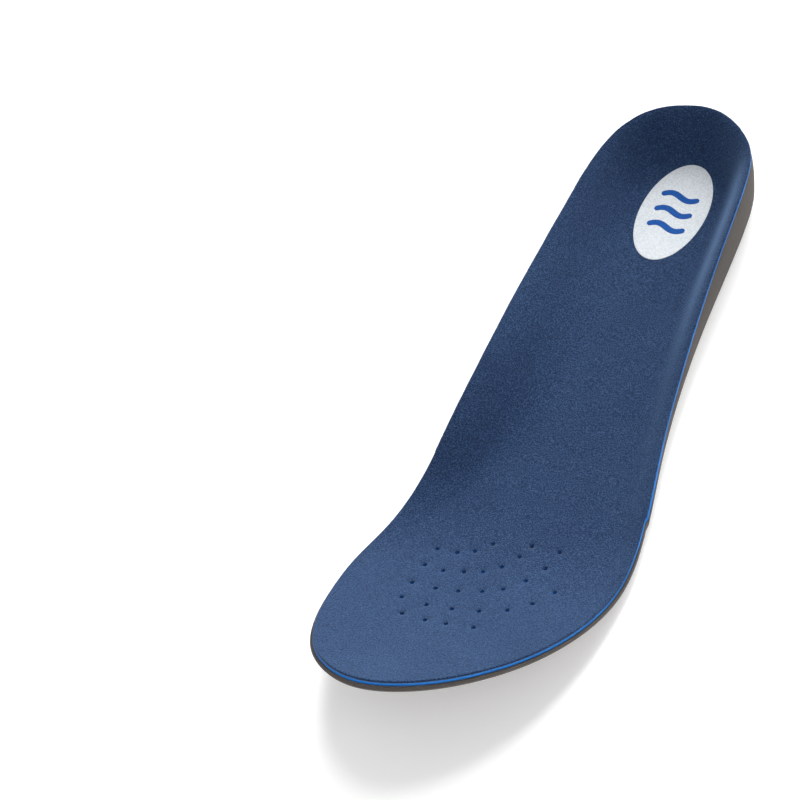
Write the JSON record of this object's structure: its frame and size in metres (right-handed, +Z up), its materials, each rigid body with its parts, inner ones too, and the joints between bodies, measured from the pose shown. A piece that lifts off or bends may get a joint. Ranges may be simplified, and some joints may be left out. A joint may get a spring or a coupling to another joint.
{
  "type": "insole",
  "caption": "Moulded left-foot insole with a deep heel cup, raised arch, soft velour cover, foam cushion, firm foam base and a soft pad under the heel.",
  "frame": {"origin": "bottom centre of the insole's box, on the surface that it stands on", "axes": "+X towards the inner (big toe) side, +Y from the heel towards the toes, +Z up"},
  "size_m": [0.0926, 0.2648, 0.0417],
  "materials": {
    "velour": "short brushed navy velour",
    "bond_film": "thin hot-melt film",
    "cushion_foam": "fine-cell bright blue foam",
    "eva_shell": "moulded dark grey EVA, matt",
    "heel_pad": "soft light blue polymer, matt",
    "glue": "dried contact glue",
    "label_film": "silvery white transfer film",
    "label_ink": "blue printed ink"
  },
  "bodies": {
    "root": {"top_cover": "velour", "cover_bond_film": "bond_film", "cushion_foam": "cushion_foam", "base_bond_film": "bond_film", "base_shell": "eva_shell", "heel_pad": "heel_pad", "heel_pad_glue": "glue", "heel_label": "label_film", "label_print": "label_ink"}
  },
  "joints": []
}
